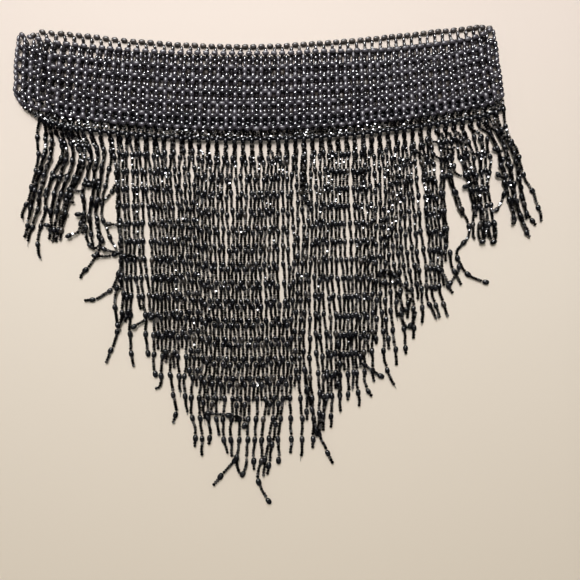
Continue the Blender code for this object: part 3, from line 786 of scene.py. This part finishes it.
def curved(points, step):  # a smooth run through the points, in even steps
    points = np.asarray(points, dtype=float)
    ends = np.vstack((2 * points[0] - points[1], points, 2 * points[-1] - points[-2]))
    run = []
    for k in range(len(points) - 1):
        a, b, c, d = ends[k:k + 4]
        first, second, third = c - a, 2 * a - 5 * b + 4 * c - d, 3 * b - a - 3 * c + d
        count = max(2, int(np.linalg.norm(c - b) / (0.5 * step)))
        for t in np.linspace(0.0, 1.0, count, endpoint=False):
            run.append(0.5 * (2 * b + first * t + second * t * t + third * t ** 3))
    run.append(points[-1])
    return evened(np.array(run), step)


def wiggled(run, draw, lead):  # slack thread never lies quite straight
    length = lengthAlong(run)
    ease = np.clip(length / strand["wiggleFrom"], 0.0, 1.0)
    length -= lead
    ripple = strand["rippleLength"] * strand["wiggleLength"]
    shift = np.sin(2 * math.pi * (length / strand["wiggleLength"] + scatter(draw, 1.9)))
    shift += strand["ripple"] * np.sin(2 * math.pi * (length / ripple + scatter(draw, 4.1)))
    moved = run.copy()
    moved[:, 0] += strand["wiggle"] * ease * shift
    return moved


def junction(column, layer):  # the middle of a column's knot
    x = netX(column, netDepth() - fringe["stripHalf"] - fringe["seam"]) + between(corner, column, 1)
    y = netY(column, netDepth(), layer) - strand["knotDrop"] - between(corner, column, 2)
    return np.array((x, y))


def strandRuns():
    made = {"front": {}, "back": {}}
    for (layer, column), route in strandRoutes().items():
        top = junction(column, "front")
        start = junction(column, layer)
        way = [start]
        if layer == "back":
            way.append(np.array((start[0], top[1] - strand["backStraight"] * strand["together"])))
        reach = strand["together"] * (1.0 + strand["togetherDrift"] * scatter(column, 8.3))
        for x, y in route[1:]:
            ease = smooth((top[1] - y) / reach)
            way.append(np.array((start[0] + ease * (x - start[0]), y)))
        behind = hidden((layer, column))   # a hidden strand takes its front one's turns, at the same heights
        draw = column if layer == "back" and not behind else column + 0.5
        lead = start[1] - top[1] if behind else 0.0
        made[layer][column] = wiggled(curved(way, strand["step"]), draw, lead)
    return made


def settled(run, startZ, lying):  # down from the net to the floor, and over the strands that lie there
    fall = np.clip(lengthAlong(run) / strand["fallOver"], 0.0, 1.0)
    z = startZ + (strand["floorZ"] - startZ) * fall * fall * (3 - 2 * fall)
    if lying is not None:
        lift = np.zeros(len(run))
        for k, (x, y) in enumerate(run):
            near = lying.find((x, y, 0.0))[2]
            share = max(0.0, 1.0 - (near / strand["clear"]) ** 2)
            lift[k] = strand["over"] * math.sqrt(share)
        window = np.ones(strand["even"]) / strand["even"]
        lift = np.convolve(np.pad(lift, strand["even"] // 2, mode="edge"), window, "valid")
        z = np.maximum(z, strand["floorZ"] + lift)
    return np.column_stack((run, z))


def treeOf(runs):
    points = [p for run in runs for p in run]
    tree = KDTree(len(points))
    for k, p in enumerate(points):
        tree.insert((p[0], p[1], 0.0), k)
    tree.balance()
    return tree


def strung(run, draw, start):  # the ovals and seeds of one strand, from start on along its thread
    length = lengthAlong(run)
    ovals, seeds = [], []

    def pointAt(at):
        return np.array([np.interp(at, length, run[:, k]) for k in range(3)])

    def put(at, long, wide, into, index):
        axis = pointAt(at + strand["leanOver"]) - pointAt(at - strand["leanOver"])
        axis /= max(np.linalg.norm(axis), 1e-6)
        lean = np.array((scatter(draw, index), scatter(index, draw), 0.4 * scatter(draw + index, 2.0)))
        axis = axis + strand["lean"] * lean
        size = 1.0 + strand["sizeDrift"] * scatter(draw * 3.1, index * 1.3)
        tone = 0.5 + 0.5 * scatter(draw + 0.77 * index, index * 2.9 + 0.3)
        roll = strand["roll"] * scatter(index, draw * 0.7)
        into.append((*pointAt(at), *axis, long * size, wide * size, roll, tone))

    k, base = 0, start
    while base <= length[-1] - strand["lastOval"] * strand["ovalLength"]:
        put(base, strand["ovalLength"], strand["ovalWidth"], ovals, 10 * k + 1)
        first = base + 0.5 * strand["ovalLength"] + 0.5 * strand["seedLength"]
        for s in range(strand["seeds"]):
            at = first + s * strand["seedLength"] * strand["seedPitch"]
            if at < length[-1]:
                put(at, strand["seedLength"], strand["seedWidth"], seeds, 10 * k + 2 + s)
        k += 1
        base = start + k * strand["repeat"]
    return ovals, seeds


laid = strandRuns()
backLying = treeOf(laid["back"].values())
allLying = treeOf([*laid["back"].values(), *laid["front"].values()])
runs = {
    "back": {c: settled(run, net["backZ"], None) for c, run in laid["back"].items()},
    "front": {c: settled(run, netZ(c, "front"), backLying) for c, run in laid["front"].items()},
}


def looped(path):
    return settled(curved(path, strand["step"]), strand["floorZ"] + strand["over"], allLying)


def headerBar(layer):  # rows of large beads that lie between the knots
    knots = [run[0] for column, run in sorted(runs[layer].items())]
    beads = []
    for rise in strand["barRises"][layer]:
        for k, (a, b) in enumerate(zip(knots, knots[1:])):
            axis = (b - a) / np.linalg.norm(b - a)
            middle = 0.5 * (a + b) + np.array((0.0, rise, 0.0))
            tone = strand["barTone"] + strand["barToneDrift"] * scatter(k + rise, 6.1)
            roll = strand["roll"] * scatter(k, 0.7)
            beads.append((*middle, *axis, strand["ovalLength"], strand["ovalWidth"], roll, tone))
    return beads


def headerLegs(layer):  # two short legs of seeds from each knot up to the last row
    seeds, threads = [], []
    for column, run in runs[layer].items():
        knot = run[0]
        for side in (-1, 1):
            to = min(max(column + 0.5 * side, 0.0), float(net["columns"]))
            a, b = [netNode(c, net["rows"] - 1, layer) for c in (math.floor(to), math.ceil(to))]
            top = 0.5 * (a + b) - np.array((0.0, strand["legTop"] * netBead["width"], 0.0))
            along = top - knot
            distance = np.linalg.norm(along)
            along = along / distance
            foot = strand["legFoot"] * strand["ovalLength"]
            room = distance - foot
            long = min(strand["seedLength"] * strand["legStretch"], room / strand["legSeeds"])
            for s in range(strand["legSeeds"]):
                middle = knot + along * (foot + room * (s + 0.5) / strand["legSeeds"])
                tone = 0.5 + 0.5 * scatter(column * 1.3 + side, s + 0.9)
                seeds.append((*middle, *along, long, strand["seedWidth"], scatter(column, s), tone))
            threads.append((knot, top))
    return seeds, threads


for layer in ("front", "back"):
    shift = 0.5 if layer == "front" else 0.0
    lines = [(run, column + shift, 0.0) for column, run in runs[layer].items()]
    if layer == "front":
        for k, path in enumerate(loops):
            lines.append((looped(path), strand["loopDraw"] + k, strand["loopStart"]))
    ovals, seeds = [], []
    for line in lines:
        moreOvals, moreSeeds = strung(*line)
        ovals += moreOvals
        seeds += moreSeeds
    ovals += headerBar(layer)
    legs, threads = headerLegs(layer)
    threads = [line[0] for line in lines] + threads
    pieces[layer + "Ovals"] = beadArray(layer + "_fringe_ovals", "oval", ovals, ovalGlass, True)
    pieces[layer + "Seeds"] = beadArray(layer + "_fringe_seeds", "seed", seeds, seedGlass, False)
    pieces[layer + "Legs"] = beadArray(layer + "_knot_seeds", "seed", legs, knotGlass, False)
    pieces[layer + "FringeThread"] = threadPiece(
        layer + "_fringe_thread", threads, strand["threadWidth"], threadMaterial)
    print(layer, "fringe:", len(ovals), "ovals,", len(seeds), "seeds,", len(legs), "knot seeds")

# Floor, light and camera.
studio = {
    # the floor's colours darken and warm from far to near, a painted falloff of the light
    "floorFar": (0.90, 0.782, 0.718), "floorMidShaded": (0.842, 0.750, 0.652),
    "floorNearShaded": (0.765, 0.668, 0.550), "nearY": -0.38, "farY": 0.10,
    "floorHalf": 2.2, "floorZ": -0.0002, "floorShine": 0.2, "floorRough": 0.8,
    "sky": (0.97, 0.95, 0.82), "skyStrength": 0.20, "lightAim": (0.0, -0.1, 0.0),
    "cameraPlace": (0.025, -0.240, 0.401), "cameraTilt": 12.6, "lens": 37.24,
}
lights = [  # name, place, size, power, colour, sparkle
    ("windowLight", (0.02, 0.48, 1.0), (0.35, 0.5), 2.0, (1.0, 0.99, 0.98), False),
    ("overheadLight", (-0.05, 0.10, 1.20), (0.2, 0.5), 9.6, (1.0, 0.99, 0.98), False),
    ("glintSoft", (-0.1, 1.15, 0.85), (1.4, 0.8), 5.5, (1.0, 0.98, 0.96), True),
    ("glintMain", (-0.25, 0.75, 1.10), (0.45, 0.33), 80.0, (1.0, 1.0, 1.0), True),
]
dome = {  # small lights all round, that only the glass shows
    "count": 16, "reach": 1.35, "lowest": 0.30, "highest": 0.97,
    "size": 0.13, "sizeDrift": 0.3, "power": 0.8, "colour": (1.0, 0.99, 0.98),
}


def floorPiece():
    half, z = studio["floorHalf"], studio["floorZ"]
    mesh = bpy.data.meshes.new("floor")
    corners = [(-half, -half, z), (half, -half, z), (half, half, z), (-half, half, z)]
    mesh.from_pydata(corners, [], [(0, 1, 2, 3)])
    material = bpy.data.materials.new("paleFloor")
    material.use_nodes = True
    nodes, links = material.node_tree.nodes, material.node_tree.links
    shader = nodes["Principled BSDF"]
    shader.inputs["Specular IOR Level"].default_value = studio["floorShine"]
    shader.inputs["Roughness"].default_value = studio["floorRough"]
    place = nodes.new("ShaderNodeTexCoord")
    axes = nodes.new("ShaderNodeSeparateXYZ")
    # painted shade: the floor is painted darker towards the viewer, standing in for the light falling off
    along = nodes.new("ShaderNodeMapRange")   # the floor is a little darker and warmer near the viewer
    along.inputs["From Min"].default_value = studio["nearY"]
    along.inputs["From Max"].default_value = studio["farY"]
    ramp = nodes.new("ShaderNodeValToRGB")
    ramp.color_ramp.elements[0].color = (*studio["floorNearShaded"], 1)
    ramp.color_ramp.elements[1].color = (*studio["floorFar"], 1)
    ramp.color_ramp.elements.new(0.5).color = (*studio["floorMidShaded"], 1)
    links.new(place.outputs["Object"], axes.inputs["Vector"])
    links.new(axes.outputs["Y"], along.inputs["Value"])
    links.new(along.outputs["Result"], ramp.inputs["Fac"])
    links.new(ramp.outputs["Color"], shader.inputs["Base Color"])
    mesh.materials.append(material)
    piece = bpy.data.objects.new("floor", mesh)
    bpy.context.scene.collection.objects.link(piece)
    piece.visible_glossy = False


def areaLight(name, place, size, power, colour, sparkle):
    light = bpy.data.lights.new(name, "AREA")
    light.shape = "RECTANGLE"
    light.size, light.size_y = size
    light.energy = power
    light.color = colour
    lamp = bpy.data.objects.new(name, light)
    lamp.visible_glossy = sparkle        # the soft lights shape, and the others make the glints
    lamp.visible_diffuse = not sparkle
    lamp.location = place
    lamp.rotation_euler = (Vector(studio["lightAim"]) - Vector(place)).to_track_quat("-Z", "Y").to_euler()
    bpy.context.scene.collection.objects.link(lamp)


floorPiece()
for light in lights:
    areaLight(*light)
for k in range(dome["count"]):
    height = dome["lowest"] + (dome["highest"] - dome["lowest"]) * (k + 0.5) / dome["count"]
    turn = k * math.pi * (3.0 - math.sqrt(5.0))
    across = math.sqrt(1.0 - height * height)
    place = [dome["reach"] * v for v in (across * math.cos(turn), across * math.sin(turn), height)]
    size = dome["size"] * (1.0 + dome["sizeDrift"] * scatter(k, 2.2))
    areaLight("glint%02d" % k, place, (size, size), dome["power"], dome["colour"], True)

world = bpy.data.worlds.new("studioWorld")
world.use_nodes = True
world.node_tree.nodes["Background"].inputs["Color"].default_value = (*studio["sky"], 1)
world.node_tree.nodes["Background"].inputs["Strength"].default_value = studio["skyStrength"]
world.cycles_visibility.glossy = False
bpy.context.scene.world = world

cameraData = bpy.data.cameras.new("camera")
cameraData.lens = studio["lens"]
cameraData.sensor_width = 36.0
cameraData.clip_start = 0.01
camera = bpy.data.objects.new("camera", cameraData)
camera.location = studio["cameraPlace"]
camera.rotation_euler = (math.radians(studio["cameraTilt"]), 0.0, 0.0)
bpy.context.scene.collection.objects.link(camera)
bpy.context.scene.camera = camera
bpy.context.scene.view_settings.view_transform = "Standard"
print("floor, light and camera ready")

# What each piece stands for.
for layer in ("front", "back"):
    for key in ("Net", "NetThread"):
        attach(pieces[layer + key], "root")
        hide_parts("band_" + layer)
    for key in ("Ovals", "Seeds", "Legs", "FringeThread"):
        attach(pieces[layer + key], "root")
        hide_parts("fringe_" + layer)

print("pieces placed")
